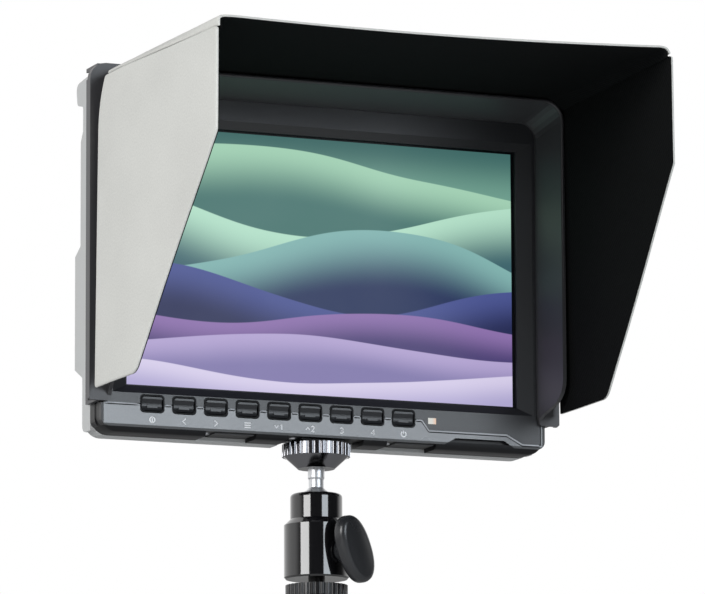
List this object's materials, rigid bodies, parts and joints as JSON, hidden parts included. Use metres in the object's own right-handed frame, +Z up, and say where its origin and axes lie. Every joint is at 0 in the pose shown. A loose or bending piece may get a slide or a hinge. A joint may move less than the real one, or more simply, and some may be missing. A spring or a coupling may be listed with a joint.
{
  "type": "camera field monitor with sun hood",
  "caption": "Flat camera monitor with a folding fabric sun hood, a row of menu keys under the screen and a small lockable ball head on an accessory-shoe foot.",
  "frame": {"origin": "centre of the accessory-shoe foot's underside, on the ball head's axis", "axes": "+X towards the viewer's right, +Y away from the viewer through the screen, +Z up the ball head's axis"},
  "size_m": [0.1826, 0.1391, 0.1915],
  "materials": {
    "bezel": "satin",
    "fascia": "satin",
    "key_rim": "gloss",
    "led": "clear",
    "circuit_board": "satin",
    "switch_metal": "plain",
    "screen": "gloss",
    "steel_sheet": "plain",
    "black_plastic": "matt",
    "cover": "fine grain",
    "black_steel": "oxide black",
    "brass": "turned",
    "bright_steel": "zinc",
    "port_metal": "plain",
    "hood_plastic": "satin",
    "hood_fabric": "coated nylon",
    "hood_felt": "felt",
    "black_anodised": "anodised",
    "rubber": "matt",
    "black_gloss": "gloss",
    "nylon": "natural",
    "polished_steel": "polished",
    "knob_plastic": "satin",
    "black_chrome": "black chrome",
    "key_cap": "satin"
  },
  "bodies": {
    "stand": {"shoe_foot": "black_steel", "barrel": "black_gloss", "collar": "black_gloss"},
    "shoe_washer": {"shoe_washer": "rubber"},
    "shoe_disc": {"shoe_disc": "black_anodised"},
    "lock_knob": {"lock_screw": "bright_steel", "lock_knob": "knob_plastic"},
    "lock_plug": {"lock_plug": "brass"},
    "ball_seat": {"ball_seat": "nylon"},
    "ball_stem": {"ball_stem": "polished_steel"},
    "wheel_washer": {"wheel_washer": "rubber"},
    "lock_wheel": {"lock_wheel": "black_chrome"},
    "monitor": {"front_bezel": "bezel", "control_fascia": "fascia", "key_surrounds": "key_rim", "led_window": "led", "key_board": "circuit_board", "tact_switches": "switch_metal", "lcd_glass": "screen", "lcd_frame": "steel_sheet", "mainboard": "circuit_board", "speaker": "black_plastic", "rear_cover": "cover", "rear_screws": "black_steel", "thread_insert": "brass", "underside_screws": "bright_steel", "battery_plate": "black_plastic", "battery_contacts": "brass", "hdmi_port": "port_metal", "dc_jack": "black_plastic", "headphone_jack": "black_plastic"},
    "battery_latch": {"battery_latch": "black_plastic"},
    "hood_frame": {"hood_frame": "hood_plastic", "hood_band": "hood_fabric"},
    "hood_top": {"hood_top_flap": "hood_fabric", "hood_top_lining": "hood_felt"},
    "hood_left": {"hood_left_flap": "hood_fabric", "hood_left_lining": "hood_felt"},
    "hood_right": {"hood_right_flap": "hood_fabric", "hood_right_lining": "hood_felt"},
    "key_1": {"key_1": "key_cap"},
    "key_2": {"key_2": "key_cap"},
    "key_3": {"key_3": "key_cap"},
    "key_4": {"key_4": "key_cap"},
    "key_5": {"key_5": "key_cap"},
    "key_6": {"key_6": "key_cap"},
    "key_7": {"key_7": "key_cap"},
    "key_8": {"key_8": "key_cap"},
    "key_9": {"key_9": "key_cap"}
  },
  "joints": [
    {"name": "shoe_washer_lift", "type": "slide", "parent": "stand", "child": "shoe_washer", "axis": [0, 0, 1], "range_m": [0, 0.0019]},
    {"name": "shoe_disc_turn", "type": "hinge", "parent": "shoe_washer", "child": "shoe_disc", "pos_m": [0, 0, 0.0071], "axis": [0, 0, 1], "range_deg": [0, 540]},
    {"name": "lock_knob_turn", "type": "hinge", "parent": "stand", "child": "lock_knob", "pos_m": [0, 0, 0.0205], "axis": [0.4067, -0.9135, 0], "range_deg": [0, 360]},
    {"name": "lock_plug_drop", "type": "slide", "parent": "stand", "child": "lock_plug", "axis": [0, 0, -1], "range_m": [0, 0.000298]},
    {"name": "ball_pan", "type": "hinge", "parent": "stand", "child": "ball_seat", "pos_m": [0, 0, 0.038], "axis": [0, 0, 1], "continuous": true},
    {"name": "ball_tilt", "type": "hinge", "parent": "ball_seat", "child": "ball_stem", "pos_m": [0, 0, 0.038], "axis": [1, 0, 0], "range_deg": [-28, 28]},
    {"name": "wheel_washer_drop", "type": "slide", "parent": "ball_stem", "child": "wheel_washer", "axis": [0, 0, -1], "range_m": [0, 0.00253]},
    {"name": "lock_wheel_turn", "type": "hinge", "parent": "wheel_washer", "child": "lock_wheel", "pos_m": [0, 0, 0.0578], "axis": [0, 0, -1], "range_deg": [0, 720]},
    {"name": "monitor_turn", "type": "hinge", "parent": "ball_stem", "child": "monitor", "pos_m": [0, 0, 0.0614], "axis": [0, 0, 1], "range_deg": [-180, 180]},
    {"name": "key_1_press", "type": "slide", "parent": "monitor", "child": "key_1", "axis": [0, 1, 0], "range_m": [0, 0.0006], "stiffness_N_per_m": 800, "springref_m": -0.0008},
    {"name": "key_2_press", "type": "slide", "parent": "monitor", "child": "key_2", "axis": [0, 1, 0], "range_m": [0, 0.0006], "stiffness_N_per_m": 800, "springref_m": -0.0008},
    {"name": "key_3_press", "type": "slide", "parent": "monitor", "child": "key_3", "axis": [0, 1, 0], "range_m": [0, 0.0006], "stiffness_N_per_m": 800, "springref_m": -0.0008},
    {"name": "key_4_press", "type": "slide", "parent": "monitor", "child": "key_4", "axis": [0, 1, 0], "range_m": [0, 0.0006], "stiffness_N_per_m": 800, "springref_m": -0.0008},
    {"name": "key_5_press", "type": "slide", "parent": "monitor", "child": "key_5", "axis": [0, 1, 0], "range_m": [0, 0.0006], "stiffness_N_per_m": 800, "springref_m": -0.0008},
    {"name": "key_6_press", "type": "slide", "parent": "monitor", "child": "key_6", "axis": [0, 1, 0], "range_m": [0, 0.0006], "stiffness_N_per_m": 800, "springref_m": -0.0008},
    {"name": "key_7_press", "type": "slide", "parent": "monitor", "child": "key_7", "axis": [0, 1, 0], "range_m": [0, 0.0006], "stiffness_N_per_m": 800, "springref_m": -0.0008},
    {"name": "key_8_press", "type": "slide", "parent": "monitor", "child": "key_8", "axis": [0, 1, 0], "range_m": [0, 0.0006], "stiffness_N_per_m": 800, "springref_m": -0.0008},
    {"name": "key_9_press", "type": "slide", "parent": "monitor", "child": "key_9", "axis": [0, 1, 0], "range_m": [0, 0.0006], "stiffness_N_per_m": 800, "springref_m": -0.0008},
    {"name": "battery_latch_slide", "type": "slide", "parent": "monitor", "child": "battery_latch", "axis": [1, 0, 0], "range_m": [0, 0.003], "stiffness_N_per_m": 400, "springref_m": -0.002},
    {"name": "hood_lift", "type": "slide", "parent": "monitor", "child": "hood_frame", "axis": [0, 0, 1], "range_m": [0, 0.12]},
    {"name": "hood_top_fold", "type": "hinge", "parent": "hood_frame", "child": "hood_top", "pos_m": [0, -0.0299, 0.1888], "axis": [1, 0, 0], "range_deg": [0, 88.7]},
    {"name": "hood_left_fold", "type": "hinge", "parent": "hood_frame", "child": "hood_left", "pos_m": [-0.0877, -0.0317, 0.1852], "axis": [0.0175, 0, 0.9998], "range_deg": [0, 87.7]},
    {"name": "hood_right_fold", "type": "hinge", "parent": "hood_frame", "child": "hood_right", "pos_m": [0.0877, -0.0317, 0.1852], "axis": [0.0175, 0, -0.9998], "range_deg": [0, 86.4]}
  ],
  "couplings": [
    {"joint": "shoe_disc_turn", "follows": "shoe_washer_lift", "rad_per_m": 4947.4},
    {"joint": "lock_wheel_turn", "follows": "wheel_washer_drop", "rad_per_m": 4947.4},
    {"joint": "lock_knob_turn", "follows": "lock_plug_drop", "rad_per_m": 20944}
  ]
}
